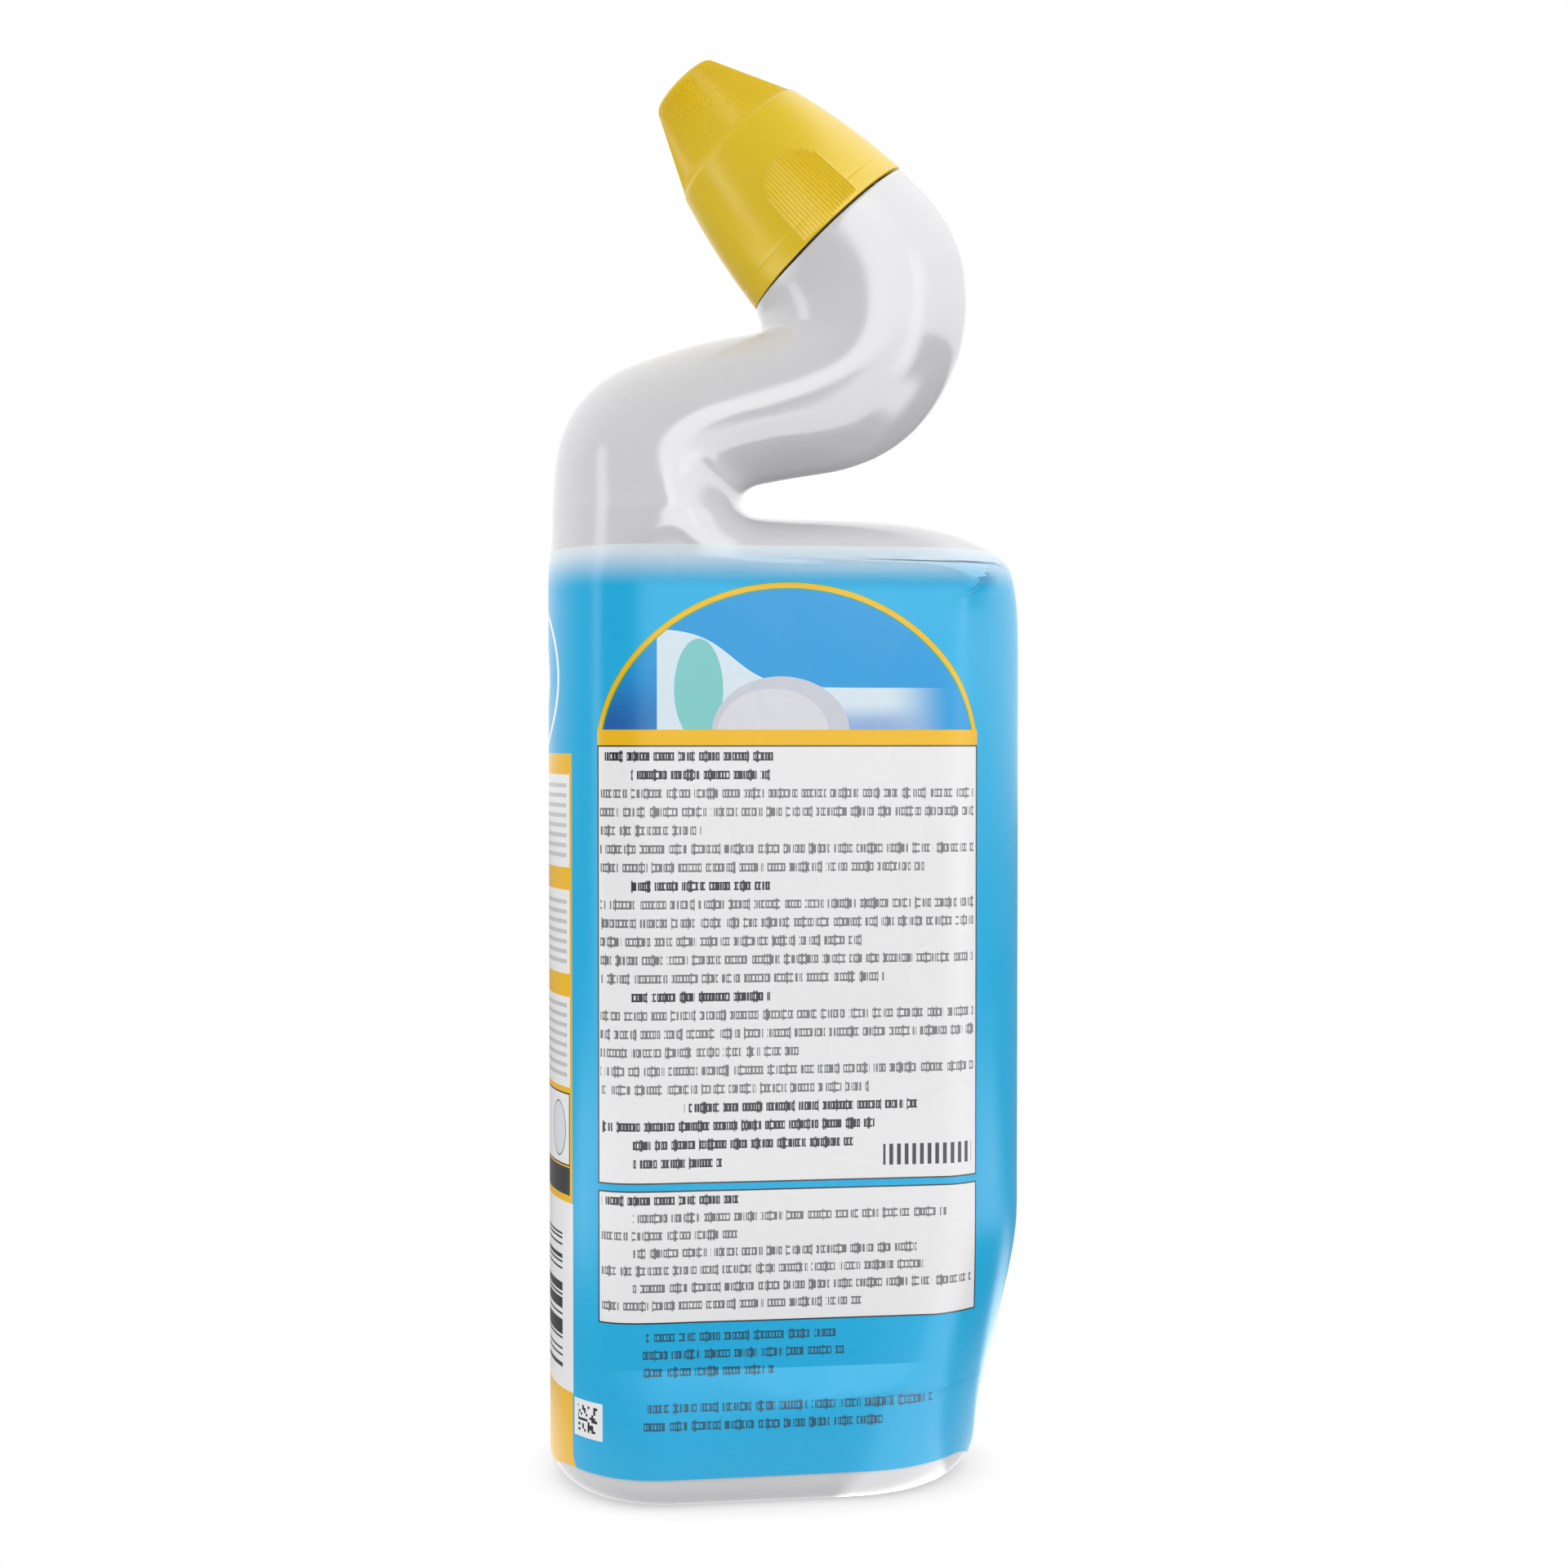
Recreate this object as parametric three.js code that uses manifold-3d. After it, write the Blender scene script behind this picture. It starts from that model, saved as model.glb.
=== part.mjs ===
// Angle-neck toilet cleaner bottle with a squeeze-and-turn cap, in millimetres.
// Z is up, X runs along the broad face, Y through the thin way. The standing ring is at Z = 0.
import * as THREE from 'three';
import Module from 'manifold-3d';

const wasm = await Module();
wasm.setup();

// Blown bottle.
const bodyWidth = 92.4;
const shoulderHeight = 188;
const thickHalf = 27.2; // half thickness 20 mm left of centre
const taperSlope = 0.1; // how fast the half thickness falls towards the hook side
const leftRound = 24;
const wall = 0.9;
const heelRadius = 4.5;
const basePushUp = 2;
const panelEdgeHalf = 20.9; // half thickness at the flat label panel's right edge
const panelEdgeX = 32;
const panelSlope = 0.088;
const panelBottom = 26;
const panelTop = 172.7;

// Printed sleeve.
const filmGap = 0.12;
const filmThickness = 0.22;
const filmLowAtEnds = 2.2;
const filmLowOnFaces = 6;

// Threaded neck finish, measured along the cap axis from the cap rim.
const rimGap = 0.5;
const finishRadius = 12.6;
const finishBore = 11;
const finishHeight = 15.5;
const threadHeight = 1.1;
const threadLead = 5;
const threadTurns = 1.4;
const threadStart = 4.2;
const threadWidth = 1.9;
const clearance = 0.3;

// Cap.
const capHeight = 41.2;
const capTipRadius = 7.1;
const capStepAt = 25.3;
const capStepRadius = 14.9;
const capStep = 0.25;
const capWall = 1.4;
const capRibs = 54;
const capRibDepth = 0.3;
const padWidth = 14.3;
const padHeight = 16;
const padRibs = 10;
const padRibDepth = 0.35;

// Dosing insert, washer and contents.
const plugLength = 6;
const flangeThickness = 1;
const spoutLength = 14;
const spoutTip = 3.4;
const orifice = 1.7;
const washerThickness = 1;
const fillHeight = 222;
const gelGap = 0.5;
const crotchRadius = 7.5;

const around = 36;
const round = 48;

// The profile is a fan of chords from the left outline to the right one. Each row holds the left
// point, the right point (percent of half the body width, percent of the shoulder height), the
// in-plane reach of the right edge's rounding in mm, and how far the section has become an oval tube.
const fan = [
  [-88, 0, 67, 0, 18, 0],
  [-93, 0.25, 73, 0.25, 19, 0],
  [-96.5, 0.9, 76.5, 0.9, 20, 0],
  [-99, 1.8, 79.2, 1.8, 21, 0],
  [-100, 2.9, 80.8, 2.9, 22, 0],
  [-100, 8, 84.9, 8, 22, 0],
  [-100, 11, 87.4, 11, 22, 0],
  [-100, 13.8, 89.9, 13.8, 22, 0],
  [-100, 17, 92.8, 17, 22, 0],
  [-100, 21.5, 96.9, 21.5, 22, 0],
  [-100, 24.5, 99, 24.5, 22, 0],
  [-100, 28, 100, 28, 22, 0],
  [-100, 50, 100, 50, 22, 0],
  [-100, 70, 100, 70, 22, 0],
  [-100, 85, 100, 85, 22, 0],
  [-100, 90, 99.5, 90, 21, 0],
  [-100, 92.6, 98.3, 92.6, 19, 0],
  [-99.8, 94.6, 96.3, 94.6, 16, 0],
  [-99.6, 96.3, 91.6, 96.3, 13, 0],
  [-99.4, 97.1, 82, 97.6, 11, 0],
  [-99.3, 97.8, 68, 98.8, 10, 0],
  [-99.2, 98.5, 49, 99.6, 10, 0],
  [-99, 99.3, 22, 99.9, 11, 0],
  [-99, 100.3, 1, 100, 12, 0],
  [-98.8, 101.5, -12, 100.2, 13, 0],
  [-98.5, 103, -17.6, 100.9, 14, 0.1],
  [-98, 104.8, -18.6, 101.8, 15, 0.25],
  [-96.5, 107.2, -17, 102.8, 17, 0.45],
  [-92.5, 110, -12.5, 103.7, 18, 0.7],
  [-85.5, 112.6, -4, 104.2, 19, 0.9],
  [-73.5, 115, 8, 104.7, 19, 1],
  [-57, 116.7, 23, 105.3, 19, 1],
  [-40, 118, 38, 106.5, 19, 1],
  [-25, 118.8, 52, 108.6, 19, 1],
  [-15, 119.2, 63.5, 111.6, 19, 1],
  [-11, 119.5, 71.5, 115, 19, 1],
  [-9.8, 119.8, 76.5, 118.6, 19, 1],
  [-9.7, 120.1, 78.3, 122.4, 19, 1],
  [-9.8, 120.5, 77.2, 126.2, 19, 1],
  [-10.2, 121, 72.5, 129.8, 19, 1],
  [-11, 121.6, 64.6, 132.9, 19, 1],
];
const footRow = 4;
const filmTopRow = 18;
const crotchRow = 23;
const neckFrom = 22;
const neckTo = 36;

// Rim of the cap: where the fan's last chord leads.
const rimLeft = new THREE.Vector2(-11.9, 122.3);
const rimRight = new THREE.Vector2(49.5, 136.7);

const scaleX = bodyWidth / 200;
const scaleZ = shoulderHeight / 100;
const toPlane = (x, z) => new THREE.Vector2(x * scaleX, z * scaleZ);
const rimA = toPlane(rimLeft.x, rimLeft.y);
const rimB = toPlane(rimRight.x, rimRight.y);
const rimRadius = rimA.distanceTo(rimB) / 2;
const rimCentre = new THREE.Vector3((rimA.x + rimB.x) / 2, 0, (rimA.y + rimB.y) / 2);
const alongRim = new THREE.Vector3(rimB.x - rimA.x, 0, rimB.y - rimA.y).normalize();
const capAxis = new THREE.Vector3(-alongRim.z, 0, alongRim.x);

const lerp = THREE.MathUtils.lerp;
const smooth = (x) => THREE.MathUtils.smoothstep(x, 0, 1);
const quarter = (d, reach) => {
  const t = 1 - Math.min(Math.max(d / reach, 0), 1);
  return Math.sqrt(Math.max(0, 1 - t * t));
};

const leftLine = fan.map((f) => toPlane(f[0], f[1]));
const rightLine = fan.map((f) => toPlane(f[2], f[3]));
leftLine.push(rimA);
rightLine.push(rimB);

// Distance from a point to an outline, and the row (with its fraction) where it is nearest.
function nearest(point, line) {
  let best = Infinity;
  let at = 0;
  for (let i = 0; i + 1 < line.length; i++) {
    const edge = line[i + 1].clone().sub(line[i]);
    const rel = point.clone().sub(line[i]);
    const t = Math.min(1, Math.max(0, rel.dot(edge) / edge.lengthSq()));
    const d = rel.addScaledVector(edge, -t).length();
    if (d < best) {
      best = d;
      at = i + t;
    }
  }
  return [best, at];
}

function panelHalf(x, z) {
  const ledge = Math.max(0, panelBottom - z) * 0.2 + Math.max(0, z - panelTop) ** 2 * 0.03;
  return panelEdgeHalf + panelSlope * (panelEdgeX - x) + ledge;
}

const chord = (row, s) => leftLine[row].clone().lerp(rightLine[row], (s + 1) / 2);

// Half thickness of the bottle along one chord, s running from -1 (left) to 1 (right). Below the
// foot row the section of that row is drawn in by the heel's rounding.
function halfThickness(row, s) {
  const point = chord(Math.max(row, footRow), s);
  const [dLeft] = nearest(point, leftLine.slice(footRow));
  const [dRight, at] = nearest(point, rightLine.slice(footRow));
  const i = Math.min(Math.floor(at) + footRow, fan.length - 2);
  const reach = lerp(fan[i][4], fan[i + 1][4], Math.min(at + footRow - i, 1));
  const body = thickHalf - taperSlope * (point.x + 20);
  const neck = smooth((row - neckFrom) / (neckTo - neckFrom));
  const oval = Math.sqrt(Math.max(0, 1 - s * s));
  const edges = lerp(quarter(dLeft, leftRound) * quarter(dRight, reach), oval, fan[row][5]);
  let half = lerp(body, rimRadius, neck) * edges;
  if (row <= filmTopRow + 1) half = Math.min(half, panelHalf(point.x, point.y));
  const inset = heelRadius * (1 - quarter(leftLine[row].y, leftLine[footRow].y));
  return half * (1 - inset / thickHalf);
}

// One closed ring of points per chord, front face first.
function bottleRing(row) {
  const ring = [];
  for (let j = 0; j < around; j++) {
    const angle = (2 * Math.PI * j) / around;
    const s = -Math.cos(angle);
    const p = chord(row, s);
    const side = Math.abs(Math.sin(angle)) < 1e-9 ? 0 : -Math.sign(Math.sin(angle));
    ring.push(new THREE.Vector3(p.x, side * halfThickness(row, s), p.y));
  }
  return ring;
}

// A circle about the cap axis, phased like the bottle rings.
function axisRing(radius, along, count = around) {
  const centre = rimCentre.clone().addScaledVector(capAxis, along);
  return Array.from({ length: count }, (_, j) => {
    const angle = (2 * Math.PI * j) / count;
    return centre.clone().addScaledVector(alongRim, -Math.cos(angle) * radius)
      .add(new THREE.Vector3(0, -Math.sin(angle) * radius, 0));
  });
}

// Rings of equal length joined into a closed skin; start and end points close its two ends.
function skin(rings, start, end) {
  const n = rings[0].length;
  const verts = rings.flat();
  const tris = [];
  for (let i = 0; i + 1 < rings.length; i++) {
    for (let j = 0; j < n; j++) {
      const a = i * n + j;
      const b = i * n + ((j + 1) % n);
      const first = verts[a].distanceTo(verts[b + n]) < verts[b].distanceTo(verts[a + n]);
      if (first) tris.push(a, b, b + n, a, b + n, a + n);
      else tris.push(a, b, a + n, b, b + n, a + n);
    }
  }
  const last = (rings.length - 1) * n;
  if (start) {
    const k = verts.push(start) - 1;
    for (let j = 0; j < n; j++) tris.push(k, (j + 1) % n, j);
  }
  if (end) {
    const k = verts.push(end) - 1;
    for (let j = 0; j < n; j++) tris.push(k, last + j, last + ((j + 1) % n));
  }
  if (!start && !end) {
    for (let j = 0; j < n; j++) {
      const b = (j + 1) % n;
      tris.push(last + j, last + b, b, last + j, b, j);
    }
  }
  let volume = 0;
  for (let i = 0; i < tris.length; i += 3) {
    const [a, b, c] = [verts[tris[i]], verts[tris[i + 1]], verts[tris[i + 2]]];
    volume += a.dot(b.clone().cross(c));
  }
  if (volume < 0) {
    for (let i = 0; i < tris.length; i += 3) [tris[i], tris[i + 1]] = [tris[i + 1], tris[i]];
  }
  const vertProperties = new Float32Array(verts.flatMap((v) => [v.x, v.y, v.z]));
  return new wasm.Manifold(new wasm.Mesh({ numProp: 3, vertProperties, triVerts: new Uint32Array(tris) }));
}

// Moves a grid of rings along its surface normals, so that every facet shifts by the distance.
function offset(rings, distance) {
  const n = rings[0].length;
  return rings.map((ring, i) => ring.map((p, j) => {
    const spokes = [
      rings[i - 1]?.[j], rings[i - 1]?.[(j + 1) % n], ring[(j + 1) % n], rings[i + 1]?.[(j + 1) % n],
      rings[i + 1]?.[j], rings[i + 1]?.[(j + n - 1) % n], ring[(j + n - 1) % n],
      rings[i - 1]?.[(j + n - 1) % n],
    ];
    const facets = [];
    for (let k = 0; k < 8; k += 2) {
      const [a, b] = [spokes[k], spokes[(k + 2) % 8]];
      if (a && b) facets.push(b.clone().sub(p).cross(a.clone().sub(p)).normalize());
    }
    const normal = facets.reduce((sum, f) => sum.add(f), new THREE.Vector3()).normalize();
    const lean = facets.reduce((least, f) => Math.min(least, f.dot(normal)), 1);
    return p.clone().addScaledVector(normal, -distance / Math.max(lean, 0.7));
  }));
}

const bodyRings = fan.map((_, row) => bottleRing(row));
const baseCentre = new THREE.Vector3(-5 * (bodyWidth / 93), 0, 0);
const shrink = (ring, k, z) => ring.map((p) => p.clone().lerp(baseCentre, 1 - k).setZ(z));
const baseRings = [
  shrink(bodyRings[0], 0.35, basePushUp),
  shrink(bodyRings[0], 0.8, basePushUp * 0.85),
  shrink(bodyRings[0], 0.9, 0),
];
const outerRings = [...baseRings, ...bodyRings];

// Wall rings stop one chord short of the cap, where the neck's top web takes over.
function insideRings(distance) {
  return offset(outerRings, -distance).slice(0, -1);
}

const baseTop = (distance) => new THREE.Vector3(baseCentre.x, 0, basePushUp + distance);

function makeBottle() {
  const neckTop = [
    axisRing(rimRadius, -rimGap),
    axisRing(finishRadius, -rimGap),
    axisRing(finishRadius, finishHeight - 0.4),
    axisRing(finishRadius - 0.4, finishHeight),
    axisRing(finishBore + 0.3, finishHeight),
    axisRing(finishBore, finishHeight - 0.3),
    axisRing(finishBore, -rimGap - 0.8),
    axisRing(finishBore + 0.5, -rimGap - wall - 0.5),
    axisRing(rimRadius - wall - 0.9, -rimGap - wall - 0.5),
    axisRing(rimRadius - wall, -rimGap - wall - 1.6),
  ];
  const inner = insideRings(wall).reverse();
  const shell = skin([...outerRings, ...neckTop, ...inner],
    baseTop(0), baseTop(wall));
  return shell.add(helix(finishRadius, threadHeight, threadStart, threadWidth, 1));
}

// A ridge of trapezium section wound about the cap axis, fading out at both ends.
function helix(radius, height, from, width, outward) {
  const steps = Math.round(threadTurns * 28);
  const rings = [];
  for (let i = 0; i <= steps; i++) {
    const turn = (i / steps) * threadTurns;
    const fade = smooth(Math.min(i, steps - i) / 5);
    const rise = -0.3 + (height + 0.3) * fade;
    const root = -0.3;
    const tipHalf = width * 0.25;
    const angle = 2 * Math.PI * turn;
    const place = (r, along) => rimCentre.clone()
      .addScaledVector(capAxis, from + turn * threadLead + along)
      .addScaledVector(alongRim, Math.cos(angle) * (radius + outward * r))
      .add(new THREE.Vector3(0, Math.sin(angle) * (radius + outward * r), 0));
    rings.push([place(root, -width / 2), place(rise, -tipHalf),
      place(rise, tipHalf), place(root, width / 2)]);
  }
  const middle = (ring) => ring.reduce((a, p) => a.add(p), new THREE.Vector3()).divideScalar(4);
  return skin(rings, middle(rings[0]), middle(rings[steps]));
}

// The shrunk film dips under the heel at both narrow ends, so its lowest rings slide up the
// columns of the grid on the broad faces.
function filmWall(distance) {
  const from = baseRings.length + 2;
  const rings = offset(outerRings, distance).slice(from, baseRings.length + filmTopRow + 1);
  return rings.map((ring, i) => ring.map((p, j) => {
    const edge = lerp(filmLowAtEnds, filmLowOnFaces, smooth(2 * Math.abs(Math.sin(2 * Math.PI * j / around))));
    const z = Math.max(p.z, edge + i * 0.25);
    if (p.z >= z || i > 4) return p;
    let k = i;
    while (rings[k + 1][j].z < z) k++;
    const [low, high] = [rings[k][j], rings[k + 1][j]];
    return low.clone().lerp(high, (z - low.z) / (high.z - low.z));
  }));
}

function makeSleeve() {
  return skin([...filmWall(filmGap + filmThickness), ...filmWall(filmGap).reverse()]);
}

function makeContents() {
  const rings = insideRings(wall + gelGap);
  const top = rings[rings.length - 1].reduce((a, p) => a.add(p), new THREE.Vector3())
    .divideScalar(around);
  const full = skin(rings, baseTop(wall + gelGap), top);
  const keep = wasm.Manifold.cube([300, 300, fillHeight + 50], true)
    .translate([0, 0, (fillHeight + 50) / 2 - 50]);
  const crotch = wasm.Manifold.cylinder(bodyWidth, crotchRadius, crotchRadius, 24, true)
    .rotate([90, 0, 0]).translate([rightLine[crotchRow].x, 0, rightLine[crotchRow].y]);
  return full.intersect(keep).subtract(crotch);
}

// Closed profile of radius and height along the cap axis, revolved about it.
function revolve(profile, count = round) {
  return skin(profile.map(([r, s]) => axisRing(r, s, count)));
}

// A profile that starts and ends on the axis.
function revolveSolid(profile, count = round) {
  const first = profile[0];
  const last = profile[profile.length - 1];
  const onAxis = (s) => rimCentre.clone().addScaledVector(capAxis, s);
  return skin(profile.slice(1, -1).map(([r, s]) => axisRing(r, s, count)),
    onAxis(first[1]), onAxis(last[1]));
}

// Outer radius of the cap: a barrel up to the step, then a straight cone to the tip.
function capRadius(s) {
  if (s > capStepAt) {
    return lerp(capStepRadius - capStep, capTipRadius, (s - capStepAt) / (capHeight - capStepAt));
  }
  const t = s / capStepAt;
  return lerp(rimRadius, capStepRadius, 0.47 * t + 0.53 * t * t);
}

const seatAt = finishHeight + clearance + flangeThickness;
const webAt = seatAt + clearance + washerThickness + clearance;

function makeCap() {
  const onAxis = (s) => rimCentre.clone().addScaledVector(capAxis, s);
  const barrel = [[0, 0]];
  for (const s of [0, 4, 8, 12, 16, 19.5, 22.5, capStepAt - 0.3]) barrel.push([capRadius(s), s]);
  barrel.push([capRadius(capStepAt) - 0.3, capStepAt], [0, capStepAt]);
  const cone = [-0.1, 0.5, 0.97].map((k) => {
    const s = lerp(capStepAt, capHeight, k);
    const r = lerp(capStepRadius - capStep, capTipRadius, k);
    return axisRing(r, s, 2 * capRibs).map((p, j) => p.lerp(onAxis(s), (j % 2) * capRibDepth / capStepRadius));
  });
  cone.push(axisRing(capTipRadius - 0.5, capHeight + 0.1, 2 * capRibs));
  cone.push(axisRing(capTipRadius * 0.5, capHeight + 0.65, 2 * capRibs));
  const outside = revolveSolid(barrel, 60)
    .add(skin(cone, onAxis(capStepAt - 1.6), onAxis(capHeight + 0.8)));

  const skirtInner = finishRadius + threadHeight + clearance;
  const skirtOuter = skirtInner + 1.1;
  const hollow = [[0, -1], [rimRadius - capWall, -1]];
  for (const s of [0, 6, 12, webAt]) hollow.push([capRadius(s) - capWall, s]);
  hollow.push([0, webAt]);
  const skirt = revolve([
    [skirtInner, 1.5], [skirtOuter, 1.5], [skirtOuter, webAt + 0.5], [skirtInner, webAt + 0.5],
  ]);
  const upper = [[0, webAt - 0.5], [finishBore - 2.2, webAt - 0.5], [finishBore - 2.2, webAt + 1.4]];
  for (const s of [webAt + 1.5, 25, 31, capHeight - 1.6]) {
    upper.push([capRadius(s) - capWall - (s > webAt + 2 ? capRibDepth : 0), s]);
  }
  upper.push([0, capHeight - 1.2]);
  const spoutTop = seatAt + spoutLength;
  const pin = revolveSolid([
    [0, spoutTop - 3], [orifice - clearance - 0.3, spoutTop - 3], [orifice - clearance, spoutTop - 2],
    [orifice - clearance, spoutTop + 1], [orifice + 0.8, spoutTop + 2.5], [orifice + 0.8, capHeight - 1],
    [0, capHeight - 1],
  ], 24);
  const capThread = threadWidth - 0.3;
  const under = (threadWidth + capThread) / 2 + clearance / 2;
  const thread = helix(skirtInner, threadHeight, threadStart + threadLead - under, capThread, -1);
  let cap = outside.subtract(revolveSolid(hollow)).subtract(revolveSolid(upper));
  cap = cap.add(skirt).add(pin).add(thread);
  for (const side of [-1, 1]) cap = cap.add(padRidges(side));
  return cap;
}

// Finger ribs under an arched outline, running along the cap axis on one flank.
function padRidges(side) {
  let all = null;
  const pitch = padWidth / padRibs;
  for (let i = 0; i < padRibs; i++) {
    const u = (i + 0.5) * pitch - padWidth / 2;
    const straight = padHeight - padWidth / 2;
    const end = straight + Math.sqrt((padWidth / 2) ** 2 - u * u);
    const rings = [0.8, end * 0.35, end * 0.7, end].map((s, k) => {
      const lift = k === 3 ? 0.05 : padRibDepth;
      const r = capRadius(s);
      const angle = Math.asin(u / r);
      const place = (du, dr) => {
        const a = angle + du / r;
        return rimCentre.clone().addScaledVector(capAxis, s)
          .addScaledVector(alongRim, Math.sin(a) * (r + dr))
          .add(new THREE.Vector3(0, side * Math.cos(a) * (r + dr), 0));
      };
      return [place(-pitch * 0.3, -0.4), place(pitch * 0.3, -0.4), place(0, lift)];
    });
    const middle = (ring) => ring.reduce((a, p) => a.add(p), new THREE.Vector3()).divideScalar(3);
    const rib = skin(rings, middle(rings[0]), middle(rings[3]));
    all = all ? all.add(rib) : rib;
  }
  return all;
}

function makeInsert() {
  const plug = finishBore - 0.15;
  const lip = finishHeight + clearance;
  const tipAt = seatAt + spoutLength;
  return revolve([
    [plug - 0.5, lip - plugLength], [plug, lip - plugLength + 0.8], [plug, lip],
    [finishRadius - 0.1, lip], [finishRadius - 0.1, seatAt], [finishBore - 3.4, seatAt],
    [finishBore - 3.8, seatAt + 1], [spoutTip + 0.6, tipAt - 4], [spoutTip, tipAt - 0.4],
    [spoutTip - 0.4, tipAt], [orifice, tipAt], [orifice, tipAt - 3.5],
    [finishBore - 5, seatAt - 0.2], [finishBore - 5, lip - 0.2], [plug - 1.1, lip - 0.6],
    [plug - 1.1, lip - plugLength],
  ], 40);
}

function makeWasher() {
  const low = seatAt + clearance;
  return revolve([
    [finishBore - 2, low], [finishRadius + 0.6, low],
    [finishRadius + 0.6, low + washerThickness], [finishBore - 2, low + washerThickness],
  ], 40);
}

function mesh(name, solid, colour, roughness) {
  const out = solid.getMesh();
  const geometry = new THREE.BufferGeometry();
  geometry.setAttribute('position', new THREE.BufferAttribute(new Float32Array(out.vertProperties), 3));
  geometry.setIndex(new THREE.BufferAttribute(new Uint32Array(out.triVerts), 1));
  geometry.computeVertexNormals();
  const material = new THREE.MeshStandardMaterial({ color: colour, roughness, metalness: 0 });
  const node = new THREE.Mesh(geometry, material);
  node.name = name;
  return node;
}

const product = new THREE.Group();
product.name = 'toilet_cleaner_bottle';
product.add(
  mesh('bottle', makeBottle(), 0xe9e9ea, 0.28),
  mesh('shrink_sleeve', makeSleeve(), 0x2da3d6, 0.3),
  mesh('cleaning_gel', makeContents(), 0x3fb4c8, 0.2),
  mesh('nozzle_insert', makeInsert(), 0xf2f2f0, 0.4),
  mesh('cap_liner', makeWasher(), 0xf4f4f4, 0.6),
  mesh('cap', makeCap(), 0xe3bd24, 0.35),
);

export default product;
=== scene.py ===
"""Angle-neck toilet cleaner bottle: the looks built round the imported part, in metres."""

import logging
import math
from dataclasses import dataclass
from enum import Enum
from typing import Any

import bmesh
import bpy
import numpy as np
from mathutils import Matrix, Vector


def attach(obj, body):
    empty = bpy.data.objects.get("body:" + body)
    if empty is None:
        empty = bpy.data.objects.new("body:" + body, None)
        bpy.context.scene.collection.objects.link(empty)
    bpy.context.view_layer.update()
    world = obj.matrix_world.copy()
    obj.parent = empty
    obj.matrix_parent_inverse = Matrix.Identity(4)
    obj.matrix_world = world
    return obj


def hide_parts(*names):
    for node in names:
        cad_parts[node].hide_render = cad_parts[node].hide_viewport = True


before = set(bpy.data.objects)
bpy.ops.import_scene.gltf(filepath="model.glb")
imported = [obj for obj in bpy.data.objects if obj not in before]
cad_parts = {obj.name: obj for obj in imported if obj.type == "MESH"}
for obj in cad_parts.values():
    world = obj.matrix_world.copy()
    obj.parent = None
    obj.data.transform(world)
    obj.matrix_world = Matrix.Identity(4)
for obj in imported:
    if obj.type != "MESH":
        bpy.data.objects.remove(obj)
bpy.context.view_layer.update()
MM = 0.001
log = logging.getLogger("bottle")


class Side(Enum):
    """Which way a thread ridge stands off its wall."""

    OUT = 1
    IN = -1


def ink(code: str) -> tuple[float, float, float, float]:
    """Linear RGBA of an sRGB hex colour."""
    parts = [int(code[i : i + 2], 16) / 255 for i in (0, 2, 4)]
    return (*[c / 12.92 if c <= 0.04045 else ((c + 0.055) / 1.055) ** 2.4 for c in parts], 1.0)


def add(tree: bpy.types.NodeTree, kind: str, *values: Any, **settings: Any) -> bpy.types.Node:
    """Adds one node.

    Args:
        tree: Node tree it goes into.
        kind: Node type without its ShaderNode prefix.
        values: Inputs in order; a node or socket is linked, a number or colour set, None left.
        settings: Node properties, or inputs by name with underscores for blanks.

    Returns:
        The new node.
    """
    node = tree.nodes.new("ShaderNode" + kind)
    named = {}
    for key, value in settings.items():
        if hasattr(node, key):
            setattr(node, key, value)
        else:
            named[key.replace("_", " ")] = value
    for socket, value in [*zip(node.inputs, values), *[(node.inputs[k], v) for k, v in named.items()]]:
        if isinstance(value, bpy.types.Node):
            value = next(out for out in value.outputs if out.enabled)
        if isinstance(value, bpy.types.NodeSocket):
            tree.links.new(value, socket)
        elif value is not None:
            socket.default_value = value
    return node


def calc(tree: bpy.types.NodeTree, expression: tuple | float | Any) -> Any:
    """Math nodes for a nested expression.

    Args:
        tree: Node tree they go into.
        expression: (operation, operand, ...) whose operands may nest, or a socket or number.

    Returns:
        The node, socket or number that holds the value.
    """
    if not isinstance(expression, tuple):
        return expression
    return add(tree, "Math", *[calc(tree, part) for part in expression[1:]], operation=expression[0])


def blank_material(name: str) -> tuple[bpy.types.Material, bpy.types.NodeTree, bpy.types.Node]:
    """A material with an empty tree and its output node."""
    material = bpy.data.materials.new(name)
    material.use_nodes = True
    material.node_tree.nodes.clear()
    return material, material.node_tree, add(material.node_tree, "OutputMaterial")


# ---------------------------------------------------------------- form

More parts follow.
